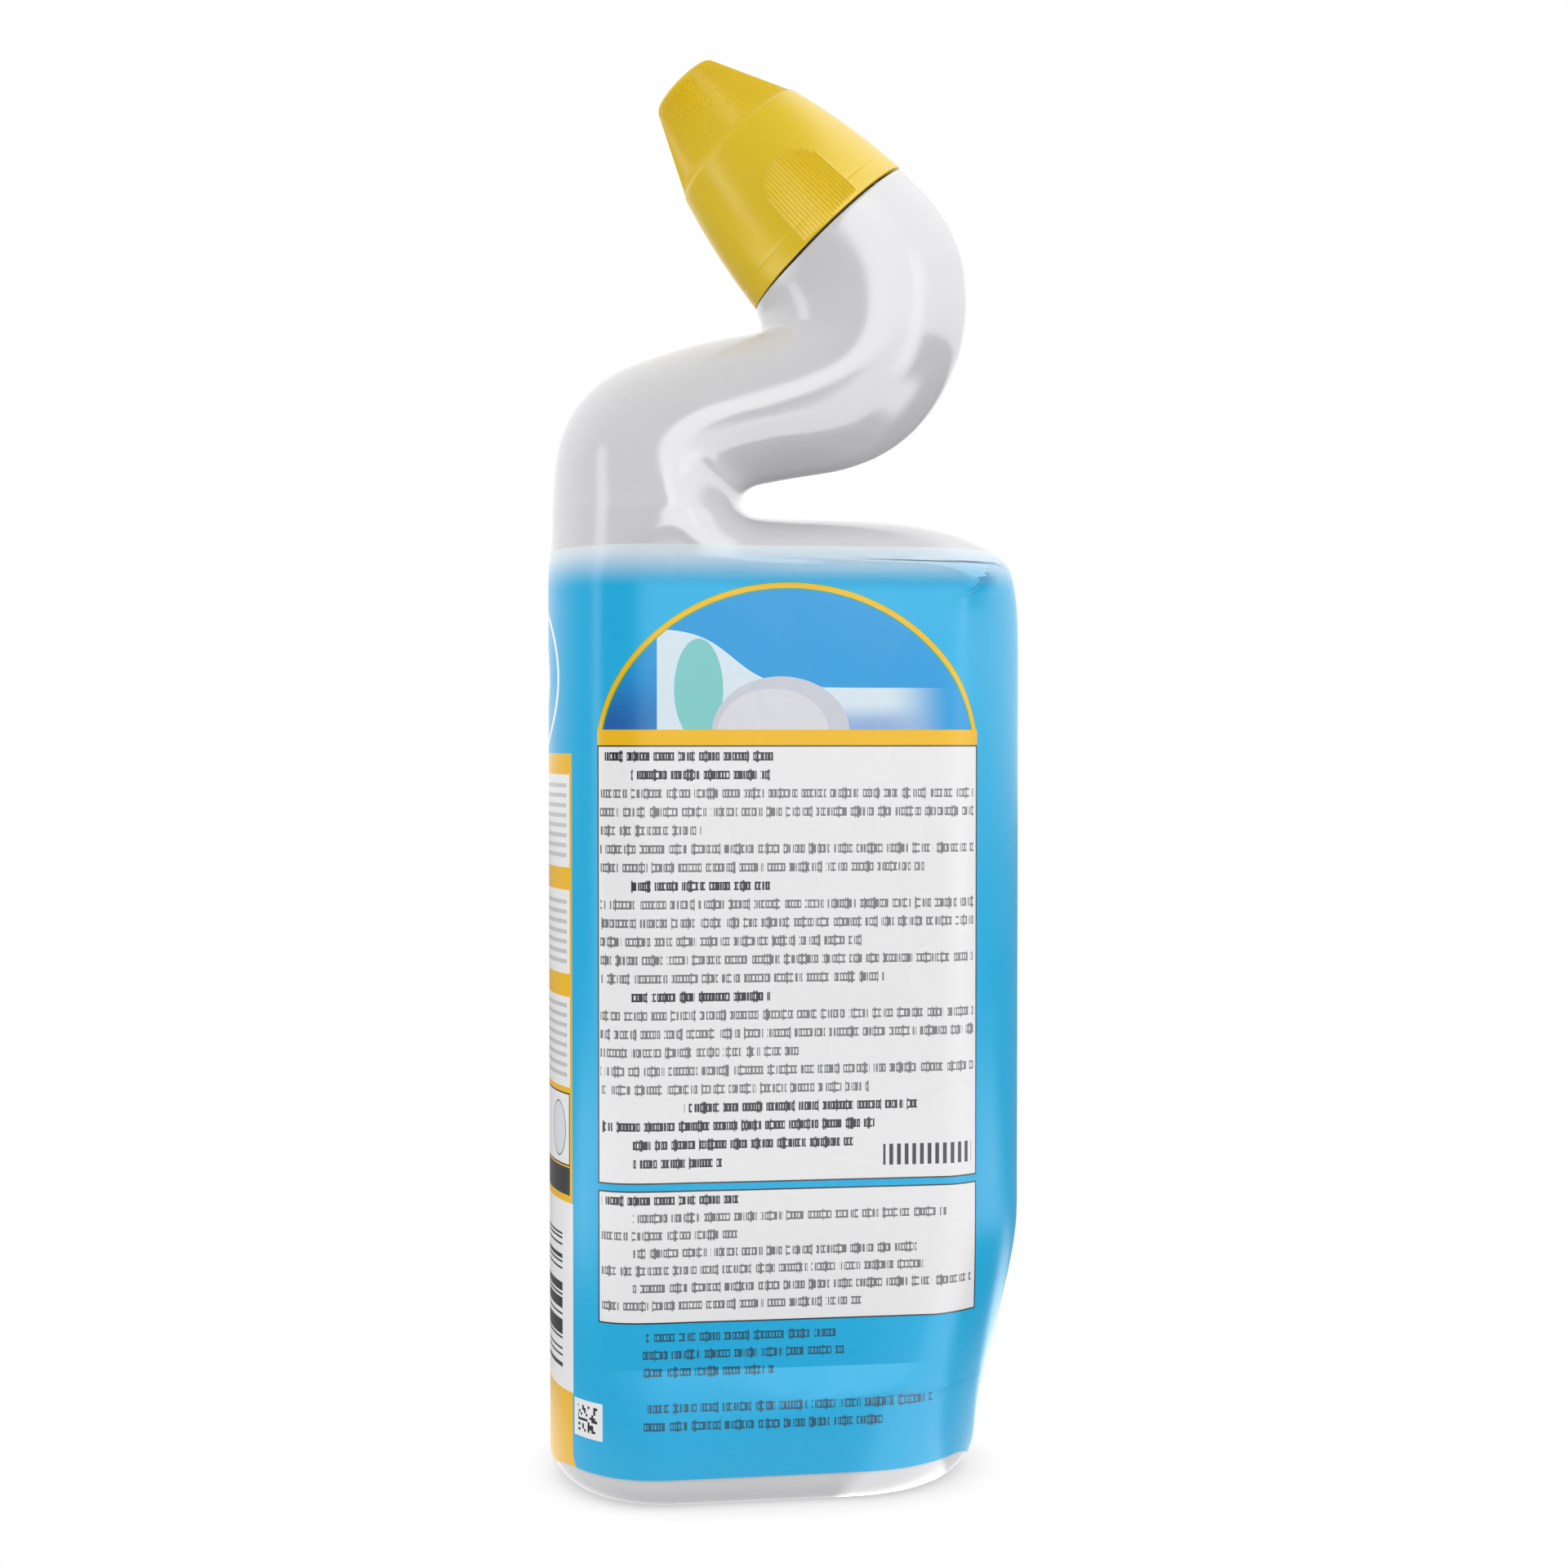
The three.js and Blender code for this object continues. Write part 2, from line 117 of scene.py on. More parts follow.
FAN = (
    (-88, 0, 67, 0, 18, 0), (-93, 0.25, 73, 0.25, 19, 0), (-96.5, 0.9, 76.5, 0.9, 20, 0),
    (-99, 1.8, 79.2, 1.8, 21, 0), (-100, 2.9, 80.8, 2.9, 22, 0), (-100, 8, 84.9, 8, 22, 0),
    (-100, 11, 87.4, 11, 22, 0), (-100, 13.8, 89.9, 13.8, 22, 0), (-100, 17, 92.8, 17, 22, 0),
    (-100, 21.5, 96.9, 21.5, 22, 0), (-100, 24.5, 99, 24.5, 22, 0), (-100, 28, 100, 28, 22, 0),
    (-100, 50, 100, 50, 22, 0), (-100, 70, 100, 70, 22, 0), (-100, 85, 100, 85, 22, 0),
    (-100, 90, 99.5, 90, 21, 0), (-100, 92.6, 98.3, 92.6, 19, 0),
    (-99.8, 94.6, 96.3, 94.6, 16, 0), (-99.6, 96.3, 91.6, 96.3, 13, 0),
    (-99.4, 97.1, 82, 97.6, 11, 0), (-99.3, 97.8, 68, 98.8, 10, 0),
    (-99.2, 98.5, 49, 99.6, 10, 0), (-99, 99.3, 22, 99.9, 11, 0), (-99, 100.3, 1, 100, 12, 0),
    (-98.8, 101.5, -12, 100.2, 13, 0), (-98.5, 103, -17.6, 100.9, 14, 0.1),
    (-98, 104.8, -18.6, 101.8, 15, 0.25), (-96.5, 107.2, -17, 102.8, 17, 0.45),
    (-92.5, 110, -12.5, 103.7, 18, 0.7), (-85.5, 112.6, -4, 104.2, 19, 0.9),
    (-73.5, 115, 8, 104.7, 19, 1), (-57, 116.7, 23, 105.3, 19, 1), (-40, 118, 38, 106.5, 19, 1),
    (-25, 118.8, 52, 108.6, 19, 1), (-15, 119.2, 63.5, 111.6, 19, 1),
    (-11, 119.5, 71.5, 115, 19, 1), (-9.8, 119.8, 76.5, 118.6, 19, 1),
    (-9.7, 120.1, 78.3, 122.4, 19, 1), (-9.8, 120.5, 77.2, 126.2, 19, 1),
    (-10.2, 121, 72.5, 129.8, 19, 1), (-11, 121.6, 64.6, 132.9, 19, 1),
    (-11.9, 122.3, 49.5, 136.7, 19, 1),
)


@dataclass(frozen=True)
class BottleForm:
    """The blown form as a fan of chords: left x and z, right x and z, edge reach, ovalness.

    Lengths are in millimetres; x and z of the fan are percent of half width and of the shoulder.
    """

    half_width: float = 46.2
    shoulder: float = 188.0
    thick_half: float = 27.2
    taper: float = 0.1
    taper_from: float = -20.0
    left_round: float = 24.0
    heel: float = 4.5
    panel_edge_half: float = 20.9
    panel_edge_x: float = 32.0
    panel_slope: float = 0.088
    panel_bottom: float = 26.0
    panel_top: float = 172.7
    swell_below: float = 0.2
    swell_above: float = 0.03
    crisp: float = 0.5
    soft: float = 2.5
    soft_over: float = 16.0
    foot_row: int = 4
    film_row: int = 18
    neck_from: int = 22
    neck_to: int = 36
    columns: int = 88
    left_marks: tuple[float, float] = (0.3, 1.3)
    right_marks: tuple[float, float] = (1.8, math.pi - 0.35)

    def rows(self, t: np.ndarray) -> np.ndarray:
        """Fan rows at fractional places, joined by a curve that never overshoots."""
        fan = np.array(FAN, float)
        t = np.clip(np.asarray(t, float), 0, len(fan) - 1)
        low = np.minimum(t.astype(int), len(fan) - 2)
        f = (t - low)[..., None]
        step = np.diff(fan, axis=0)

        def tangent(k: np.ndarray) -> np.ndarray:
            before = step[np.clip(k - 1, 0, len(step) - 1)]
            after = step[np.clip(k, 0, len(step) - 1)]
            total = before + after
            return np.where(before * after > 0, 2 * before * after / np.where(total == 0, 1, total), 0)

        near, far = fan[low], fan[low + 1]
        return (
            (2 * f**3 - 3 * f**2 + 1) * near + (f**3 - 2 * f**2 + f) * tangent(low)
            + (3 * f**2 - 2 * f**3) * far + (f**3 - f**2) * tangent(low + 1)
        )

    def row_at(self, z: np.ndarray) -> np.ndarray:
        """Fan place of a height on the body, where the chords lie level."""
        places = np.linspace(0, self.film_row + 1, 2000)
        return np.interp(z, self.rows(places)[:, 1] * self.shoulder / 100, places)

    def chord(self, row: np.ndarray, s: np.ndarray) -> tuple[np.ndarray, np.ndarray]:
        """Plane point at s of a chord, -1 its left end and 1 its right end."""
        x = (row[..., 0] * (1 - s) + row[..., 2] * (1 + s)) / 200 * self.half_width
        z = (row[..., 1] * (1 - s) + row[..., 3] * (1 + s)) / 200 * self.shoulder
        return x, z

    def distance(self, x: np.ndarray, z: np.ndarray, side: int) -> tuple[np.ndarray, np.ndarray]:
        """Distance to the left (-1) or right (1) outline, and the fan place it is nearest to."""
        places = np.linspace(self.foot_row, len(FAN) - 1, (len(FAN) - 1 - self.foot_row) * 8 + 1)
        line = np.stack(self.chord(self.rows(places), np.full(len(places), float(side))), 1)
        points = np.stack([x.ravel(), z.ravel()], 1)
        best, where = np.full(len(points), 1e9), np.zeros(len(points))
        for k, (start, end) in enumerate(zip(line[:-1], line[1:])):
            edge = end - start
            along = np.clip((points - start) @ edge / (edge @ edge), 0, 1)
            gap = np.linalg.norm(points - start - along[:, None] * edge, axis=1)
            near = gap < best
            best[near], where[near] = gap[near], k + along[near]
        return best.reshape(x.shape), np.interp(where, np.arange(len(places)), places).reshape(x.shape)

    def half(self, t: np.ndarray, s: np.ndarray) -> tuple[np.ndarray, ...]:
        """The section law.

        Args:
            t: Fan places.
            s: Places along the chords.

        Returns:
            x, half thickness, z, and how far the free rounding stands above the flat panel.
        """
        foot, row = self.rows(np.maximum(t, self.foot_row)), self.rows(t)
        fx, fz = self.chord(foot, s)
        x, z = self.chord(row, s)
        left, _ = self.distance(fx, fz, -1)
        right, at = self.distance(fx, fz, 1)

        def quarter(d: np.ndarray, reach: Any) -> np.ndarray:
            return np.sqrt(np.maximum(0, 1 - (1 - np.clip(d / reach, 0, 1)) ** 2))

        neck = np.clip((t - self.neck_from) / (self.neck_to - self.neck_from), 0, 1)
        neck = neck * neck * (3 - 2 * neck)
        square = quarter(left, self.left_round) * quarter(right, self.rows(at)[..., 4])
        edges = square + (np.sqrt(np.maximum(0, 1 - s * s)) - square) * foot[..., 5]
        body = self.thick_half - self.taper * (fx - self.taper_from)
        free = (body + (CapFit().rim - body) * neck) * edges
        panel = self.panel_edge_half + self.panel_slope * (self.panel_edge_x - fx)
        panel += np.maximum(0, self.panel_bottom - fz) * self.swell_below
        panel += np.maximum(0, fz - self.panel_top) ** 2 * self.swell_above
        over = free - panel
        soft = self.crisp + self.soft * np.clip(-fx / self.soft_over, 0, 1)
        blend = np.clip(0.5 - over / soft / 2, 0, 1)
        flat = free * blend + panel * (1 - blend) - soft * blend * (1 - blend)
        flat = np.where(np.abs(over) < soft, flat, np.minimum(free, panel))
        inset = self.heel * (1 - quarter(row[..., 1], FAN[self.foot_row][1]))
        return x, np.maximum(0, flat) * (1 - inset / self.thick_half), z, over

    def places(self) -> np.ndarray:
        """Fan places of the rings, close together where the form turns."""
        straight, turning, elsewhere = 3.5, 0.8, 1.4
        out = []
        for i in range(len(FAN) - 1):
            move = np.abs(np.subtract(FAN[i + 1], FAN[i]))
            span = max(move[[1, 3]].max() * self.shoulder / 100, move[[0, 2]].max() * 0.46)
            pitch = straight if 9 < i < 14 else turning if 13 < i < 20 else elsewhere
            count = max(3, math.ceil(span / pitch))
            out.append(i + np.arange(count) / count)
        t = np.append(np.concatenate(out), len(FAN) - 1)
        return np.unique(np.append(t, self.row_at(np.array([self.panel_bottom, self.panel_bottom + 0.5]))))

    def angles(self, t: np.ndarray) -> np.ndarray:
        """Column angles of each ring, 0 at the left end and pi at the right, along the panel's edges."""
        trial = np.linspace(0, math.pi, 500)
        over = self.half(t[:, None] + 0 * trial, -np.cos(trial) + 0 * t[:, None])[3]
        flat = over > 0
        hit = flat.any(1) & (t < self.film_row + 2)
        first = trial[np.argmax(flat, 1)]
        last = trial[len(trial) - 1 - np.argmax(flat[:, ::-1], 1)]
        level = np.arange(len(t))
        first = np.clip(np.interp(level, level[hit], first[hit]), *self.left_marks)
        last = np.clip(np.interp(level, level[hit], last[hit]), *self.right_marks)
        ease = np.clip((t - self.film_row) / 6, 0, 1)[:, None]
        n = self.columns
        marks = [0, 0.27 * n, 0.73 * n, n]
        spread = np.array([np.interp(np.arange(n + 1), marks, [0, a, b, math.pi]) for a, b in zip(first, last)])
        return spread * (1 - ease) + np.linspace(0, math.pi, n + 1) * ease

    def surface(self, t: np.ndarray, angle: np.ndarray) -> np.ndarray:
        """Closed rings of points, front face first, the last point of each the same as its first."""
        t = t if t.ndim == 2 else t[:, None] + 0 * angle
        x, half, z, _ = self.half(t, -np.cos(angle))
        half[:, 0] = half[:, -1] = 0
        front = np.stack([x, -half, z], -1)
        return np.concatenate([front, (front * (1, -1, 1))[:, -2::-1]], 1)


@dataclass(frozen=True)
class CapFit:
    """Where the cap sits: rim centre and axis in the XZ plane, in millimetres."""

    left: tuple[float, float] = (-5.4978, 229.924)
    right: tuple[float, float] = (22.869, 256.996)

    @property
    def rim(self) -> float:
        """Radius of the cap's rim."""
        return math.dist(self.left, self.right) / 2

    @property
    def along(self) -> Vector:
        """Unit vector along the rim, from its left to its right."""
        return Vector((self.right[0] - self.left[0], 0, self.right[1] - self.left[1])).normalized()

    @property
    def axis(self) -> Vector:
        """Unit vector up the cap, square to its rim."""
        return Vector((-self.along.z, 0, self.along.x))

    @property
    def middle(self) -> Vector:
        """Centre of the rim."""
        return Vector(((self.left[0] + self.right[0]) / 2, 0, (self.left[1] + self.right[1]) / 2))

    def ring(self, radius: float, height: float, count: int) -> np.ndarray:
        """A closed ring about the cap axis, phased like the bottle's rings."""
        angle = np.linspace(0, 2 * math.pi, count)[:, None]
        across = -np.cos(angle) * radius * np.array(self.along)
        return np.array(self.middle + self.axis * height) + across - np.sin(angle) * radius * np.array((0, 1, 0))

    def place(self) -> Matrix:
        """Takes a piece made about Z at the origin onto the cap axis, in metres."""
        u = self.along
        turn = Matrix(((-u.x, 0, -u.z), (0, -1, 0), (-u.z, 0, u.x))).to_4x4()
        return Matrix.Translation(self.middle * MM) @ turn @ Matrix.Scale(MM, 4)


def bend_grid(bm: bmesh.types.BMesh, rings: np.ndarray, chart: np.ndarray | None = None) -> None:
    """Lays a flat grid along rings and welds its seams and poles.

    Args:
        bm: Mesh that receives the skin, in metres.
        rings: Points (ring, column, 3) in millimetres.
        chart: Print coordinates (ring, column, 2), or None.
    """
    high, wide = rings.shape[:2]
    made = bmesh.ops.create_grid(bm, x_segments=wide - 1, y_segments=high - 1, size=1)["verts"]
    cells = {}
    for vert in made:
        i = round((vert.co.y + 1) / 2 * (high - 1))
        j = round((vert.co.x + 1) / 2 * (wide - 1))
        cells[vert] = (i, j)
        vert.co = rings[i, j] * MM
    if chart is not None:
        layer = bm.loops.layers.uv.new("print")
        for face in {face for vert in made for face in vert.link_faces}:
            for loop in face.loops:
                loop[layer].uv = chart[cells[loop.vert]]
    bmesh.ops.remove_doubles(bm, verts=made, dist=2e-7)


@dataclass(frozen=True)
class ScrewThread:
    """A trapezium ridge that winds about the cap axis and fades out at both ends."""

    fit: CapFit
    stand_off: float = 1.1
    root: float = 0.3
    lead: float = 5.0
    turns: float = 1.4
    steps_per_turn: int = 72
    run_out: int = 12

    def wind(self, bm: bmesh.types.BMesh, radius: float, start: float, width: float, side: Side) -> None:
        """Winds the ridge onto a wall.

        Args:
            bm: Mesh that receives the ridge.
            radius: Wall radius it stands on.
            start: Height of its start above the rim.
            width: Width at its foot.
            side: Outside or inside thread.
        """
        up, across = np.array(self.fit.axis), np.array(self.fit.along)
        steps = round(self.turns * self.steps_per_turn)
        rings = []
        for i in range(steps + 1):
            fade = min(1, min(i, steps - i) / self.run_out)
            rise = (self.stand_off + self.root) * fade * fade * (3 - 2 * fade) - self.root
            turn = i / steps * self.turns
            angle = 2 * math.pi * turn
            out = math.cos(angle) * across + math.sin(angle) * np.array((0, 1, 0))
            base = np.array(self.fit.middle) + up * (start + turn * self.lead)
            foot, crest = width / 2, width / 4
            shape = [(-self.root, -foot), (rise, -crest), (rise, crest), (-self.root, foot)]
            ring = [base + up * a + out * (radius + side.value * r) for r, a in shape]
            rings.append(np.array([*ring, ring[0]]))
        ends = [np.repeat(ring[:4].mean(0)[None], 5, 0) for ring in (rings[0], rings[-1])]
        bend_grid(bm, np.array([ends[0], *rings, ends[1]]))


def finish_mesh(bm: bmesh.types.BMesh, name: str, smooth_angle: float = 35) -> bpy.types.Object:
    """Turns the mesh outward, shades it smooth but for its sharp edges and links its object."""
    bmesh.ops.recalc_face_normals(bm, faces=bm.faces)
    for edge in bm.edges:
        edge.smooth = len(edge.link_faces) == 2 and edge.calc_face_angle(0) < math.radians(smooth_angle)
    for face in bm.faces:
        face.smooth = True
    mesh = bpy.data.meshes.new(name)
    bm.to_mesh(mesh)
    bm.free()
    piece = bpy.data.objects.new(name, mesh)
    bpy.context.scene.collection.objects.link(piece)
    return piece


def install(piece: bpy.types.Object, node: str, body: str, material: bpy.types.Material) -> None:
    """Puts a finished piece in the place of a CAD node."""
    piece.data.materials.append(material)
    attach(piece, body)
    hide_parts(node)
    log.info("%s stands for %s: %d faces", piece.name, node, len(piece.data.polygons))


def outward(rings: np.ndarray) -> np.ndarray:
    """Unit normals of closed rings, pointing out."""
    closed = np.concatenate([rings[:, -2:-1], rings, rings[:, 1:2]], 1)
    across = closed[:, 2:] - closed[:, :-2]
    up = np.gradient(rings, axis=0)
    normal = np.cross(across, up)
    return normal / np.maximum(np.linalg.norm(normal, axis=-1, keepdims=True), 1e-9)


# ---------------------------------------------------------------- finishes


@dataclass(frozen=True)
class BlownPolyethylene:
    """Extrusion-blown HDPE, white masterbatch: a satin skin that blurs reflections a little.

    The mould's blasted surface leaves a very fine grain and the parison slow waves in the wall.
    """

    colour: str = "d3d3d5"
    roughness: float = 0.17
    grain: float = 0.25
    wave: float = 14.0

    def build(self) -> bpy.types.Material:
        """The node material."""
        material, tree, output = blank_material("HDPE blown white")
        where = add(tree, "TexCoord").outputs["Object"]
        fine = add(tree, "TexNoise", where, Scale=1 / (self.grain * MM), Detail=2.0)
        slow = add(tree, "TexNoise", where, Scale=1 / (self.wave * MM), Detail=1.0)
        waves = add(tree, "Bump", 0.12, 1.0, Height=slow, Distance=0.0006)
        bump = add(tree, "Bump", 0.05, 1.0, Height=fine, Distance=0.00003, Normal=waves)
        shine = add(tree, "MapRange", slow, 0.0, 1.0, self.roughness - 0.05, self.roughness + 0.06)
        skin = add(tree, "BsdfPrincipled", Base_Color=ink(self.colour), Roughness=shine, IOR=1.54,
                   Subsurface_Weight=0.08, Subsurface_Scale=0.002, Normal=bump)
        skin.inputs["Subsurface Radius"].default_value = (1.0, 1.0, 1.0)
        tree.links.new(skin.outputs[0], output.inputs[0])
        return material


@dataclass(frozen=True)
class MouldedPolypropylene:
    """Injection-moulded PP, yellow masterbatch: polished tool steel gives a low sheen with soft edges."""

    colour: str = "e1c012"
    roughness: float = 0.3

    def build(self) -> bpy.types.Material:
        """The node material."""
        material, tree, output = blank_material("PP moulded yellow")
        where = add(tree, "TexCoord").outputs["Object"]
        cloud = add(tree, "TexNoise", where, Scale=1 / (6 * MM), Detail=2.0)
        fine = add(tree, "TexNoise", where, Scale=1 / (0.3 * MM))
        bump = add(tree, "Bump", 0.06, 1.0, Height=fine, Distance=0.00003)
        shine = add(tree, "MapRange", cloud, 0.0, 1.0, self.roughness - 0.05, self.roughness + 0.06)
        skin = add(tree, "BsdfPrincipled", Base_Color=ink(self.colour), Roughness=shine, IOR=1.49,
                   Subsurface_Weight=0.05, Subsurface_Scale=0.001, Normal=bump)
        tree.links.new(skin.outputs[0], output.inputs[0])
        return material


@dataclass(frozen=True)
class PlainResin:
    """Natural LDPE or foamed PE, moulded or die-cut: milky, dull, one even colour."""

    name: str
    colour: str
    roughness: float
    cell: float

    def build(self) -> bpy.types.Material:
        """The node material."""
        material, tree, output = blank_material(self.name)
        where = add(tree, "TexCoord").outputs["Object"]
        cells = add(tree, "TexVoronoi", where, Scale=1 / (self.cell * MM))
        bump = add(tree, "Bump", 0.2, 1.0, Height=cells, Distance=self.cell * MM * 0.1)
        skin = add(tree, "BsdfPrincipled", Base_Color=ink(self.colour), Roughness=self.roughness,
                   Subsurface_Weight=0.1, Subsurface_Scale=0.001, Normal=bump)
        tree.links.new(skin.outputs[0], output.inputs[0])
        return material


@dataclass(frozen=True)
class CleanerGel:
    """Thickened acid cleaner, dyed turquoise: clear enough to pass light, with a wet surface."""

    colour: str = "3fb4c8"

    def build(self) -> bpy.types.Material:
        """The node material."""
        material, tree, output = blank_material("Cleaner gel")
        where = add(tree, "TexCoord").outputs["Object"]
        haze = add(tree, "TexNoise", where, Scale=1 / (8 * MM))
        skin = add(tree, "BsdfPrincipled", Base_Color=ink(self.colour), IOR=1.35, Transmission_Weight=0.4,
                   Roughness=add(tree, "MapRange", haze, 0.3, 0.7, 0.05, 0.12))
        tree.links.new(skin.outputs[0], output.inputs[0])
        return material


@dataclass(frozen=True)
class TextBlock:
    """Lines of stand-in text: top line height, pitch, and per line its start, end and weight."""

    top: float
    pitch: float
    lines: tuple[tuple[float, float, float], ...]


@dataclass(frozen=True)
class PrintedFilm:
    """Gravure-printed shrink film: flat inks under a clear glossy layer that hugs the wall.

    The print is laid out in millimetres, u round the body from the middle of the front, z up.
    """

    ground: str = "12afe2"
    yellow: str = "f0bb14"
    paper: str = "f0f0f1"
    black: str = "26262a"
    box: tuple[float, float] = (-36.2, 36.8)
    facts: tuple[float, float] = (61.3, 143.6)
    contents: tuple[float, float] = (35.0, 60.1)
    rule: float = 0.3
    arch: tuple[float, float, float, float] = (0.2, 139.6, 37.0, 34.5)
    ring: float = 1.0
    panel_edge: float = 19.9
    end: float = -63.4
    fade: tuple[float, float] = (173.0, 181.5)
    band: float = 2.9
    back_from: tuple[float, float] = (-90.0, 70.0)
    back_shift: tuple[float, float] = (126.8, 117.0)

    def build(self) -> bpy.types.Material:
        """The node material."""
        material, tree, output = blank_material("Printed shrink film")
        chart = add(tree, "SeparateXYZ", add(tree, "UVMap", uv_map="print"))
        u, z = chart.outputs[0], chart.outputs[1]
        round_u = u
        u = self.repeat_on_back(tree, u)
        colour = self.lay(tree, ink(self.ground), self.ground_tint(tree, z), "38b2e4")
        colour = self.side_panel(tree, colour, round_u, z)
        colour = self.picture(tree, colour, u, z)
        for low, high in (self.facts, self.contents):
            colour = self.lay(tree, colour, self.inside(u, z, (*self.box, low, high)), self.black)
            inner = (self.box[0] + self.rule, self.box[1] - self.rule, low + self.rule, high - self.rule)
            colour = self.lay(tree, colour, self.inside(u, z, inner), self.paper)
        for block in FACT_LINES, CONTENT_LINES, NOTE_LINES:
            colour = self.lay(tree, colour, self.greeked(tree, u, z, block), self.black)
        volume = ("MULTIPLY", self.inside(u, z, (18.0, 35.5, 64.0, 68.0)), self.strokes(u, 4.1))
        colour = self.lay(tree, colour, volume, self.black)
        colour = self.code(tree, colour, round_u, z)
        colour = self.lay(tree, colour, self.inside(round_u, z, (58.2, 60.4, 50.0, 90.0)), self.yellow)
        top = add(tree, "MapRange", z, self.fade[0], self.fade[1], 0.0, 0.9, interpolation_type="SMOOTHSTEP")
        colour = add(tree, "MixRGB", top, colour, ink("e9eced"))
        where = add(tree, "TexCoord").outputs["Object"]
        ripple = add(tree, "TexNoise", where, Scale=1 / (16 * MM), Detail=1.0)
        bump = add(tree, "Bump", 0.08, 1.0, Height=ripple, Distance=0.0004)
        shine = add(tree, "MapRange", ripple, 0.0, 1.0, 0.22, 0.32)
        skin = add(tree, "BsdfPrincipled", Base_Color=colour, Roughness=shine, Specular_IOR_Level=0.32,
                   Normal=bump)
        tree.links.new(skin.outputs[0], output.inputs[0])
        return material

    @staticmethod
    def lay(tree: bpy.types.NodeTree, below: Any, mask: Any, code: str) -> bpy.types.Node:
        """Prints one ink over the colours below, where the mask is 1."""
        return add(tree, "MixRGB", calc(tree, mask), below, ink(code))

    @staticmethod
    def inside(u: Any, z: Any, box: tuple[float, float, float, float]) -> tuple:
        """Mask of a rectangle from its low and high u, low and high z."""
        low, high, bottom, top = box
        return ("MULTIPLY", ("COMPARE", u, (low + high) / 2, (high - low) / 2),
                ("COMPARE", z, (bottom + top) / 2, (top - bottom) / 2))

    @staticmethod
    def oval(u: Any, z: Any, centre: tuple[float, float], size: tuple[float, float]) -> tuple:
        """Mask of an ellipse from its centre and half sizes."""
        return ("LESS_THAN", ("ADD", ("POWER", ("ABSOLUTE", ("DIVIDE", ("SUBTRACT", u, centre[0]), size[0])), 2.0),
                              ("POWER", ("ABSOLUTE", ("DIVIDE", ("SUBTRACT", z, centre[1]), size[1])), 2.0)), 1.0)

    @staticmethod
    def strokes(u: Any, height: float) -> tuple:
        """Upright strokes of stand-in letters as tall as the line."""
        return ("LESS_THAN", ("FRACT", ("DIVIDE", u, height * 0.36)), 0.5)

    def repeat_on_back(self, tree: bpy.types.NodeTree, u: Any) -> Any:
        """Print place that runs round the body once, but repeats the front's panel on the back."""
        (left, right), (by_left, by_right) = self.back_from, self.back_shift
        down = ("MULTIPLY", ("LESS_THAN", u, left), by_left)
        return calc(tree, ("ADD", u, ("SUBTRACT", down, ("MULTIPLY", ("GREATER_THAN", u, right), by_right))))

    @staticmethod
    def ground_tint(tree: bpy.types.NodeTree, z: Any) -> tuple:
        """Where the ground goes a little lighter, towards the foot."""
        return ("MULTIPLY", add(tree, "MapRange", z, 40.0, 5.0, 0.0, 1.0), 0.6)

    def side_panel(self, tree: bpy.types.NodeTree, colour: Any, u: Any, z: Any) -> Any:
        """Panel round the thick end: rings, boxes of strokes, a plain oval, a dark bar and bars."""
        mid, edge = self.end, self.panel_edge
        wide = (mid - edge, mid + edge)
        for size, code in ((13.6, "f2f6f8"), (12.5, self.ground), (6.5, "e8eef2")):
            colour = self.lay(tree, colour, self.oval(u, z, (mid, 156.5), (size + 1.2, size)), code)
        colour = self.lay(tree, colour, self.inside(u, z, (*wide, 0.0, 142.0)), self.yellow)

        def box(inset: float, low: float, high: float) -> tuple:
            return self.inside(u, z, (wide[0] + inset, wide[1] - inset, low, high))

        for low, high in ((120.3, 138.0), (100.0, 116.0), (78.3, 95.6)):
            colour = self.lay(tree, colour, box(0.8, low, high), self.paper)
            line = ("LESS_THAN", ("FRACT", ("DIVIDE", ("SUBTRACT", z, low), 1.9)), 0.42)
            text = ("MULTIPLY", ("MULTIPLY", line, self.strokes(u, 1.0)),
                    self.inside(u, z, (wide[0] + 1.6, wide[1] - 1.9, low + 0.8, high - 1.0)))
            colour = self.lay(tree, colour, ("MULTIPLY", text, 0.7), self.black)
        colour = self.lay(tree, colour, box(0.9, 63.2, 77.2), self.black)
        colour = self.lay(tree, colour, box(1.2, 63.5, 76.9), self.paper)
        colour = self.lay(tree, colour, self.oval(u, z, (mid + 14.0, 70.0), (3.4, 5.4)), "7a7f85")
        colour = self.lay(tree, colour, self.oval(u, z, (mid + 14.0, 70.0), (3.1, 5.1)), "dfe3e6")
        colour = self.lay(tree, colour, box(0.9, 57.6, 62.9), "333336")
        colour = self.lay(tree, colour, self.inside(u, z, (wide[0] - 0.4, wide[1] + 0.2, 20.0, 56.2)), self.paper)
        grain = add(tree, "TexWhiteNoise", noise_dimensions="1D", W=calc(tree, ("FLOOR", ("DIVIDE", z, 0.42))))
        bars = ("MULTIPLY", ("GREATER_THAN", grain.outputs[0], 0.5),
                self.inside(u, z, (wide[0] + 4, wide[1] - 4.2, 23.5, 53.0)))
        return self.lay(tree, colour, bars, self.black)

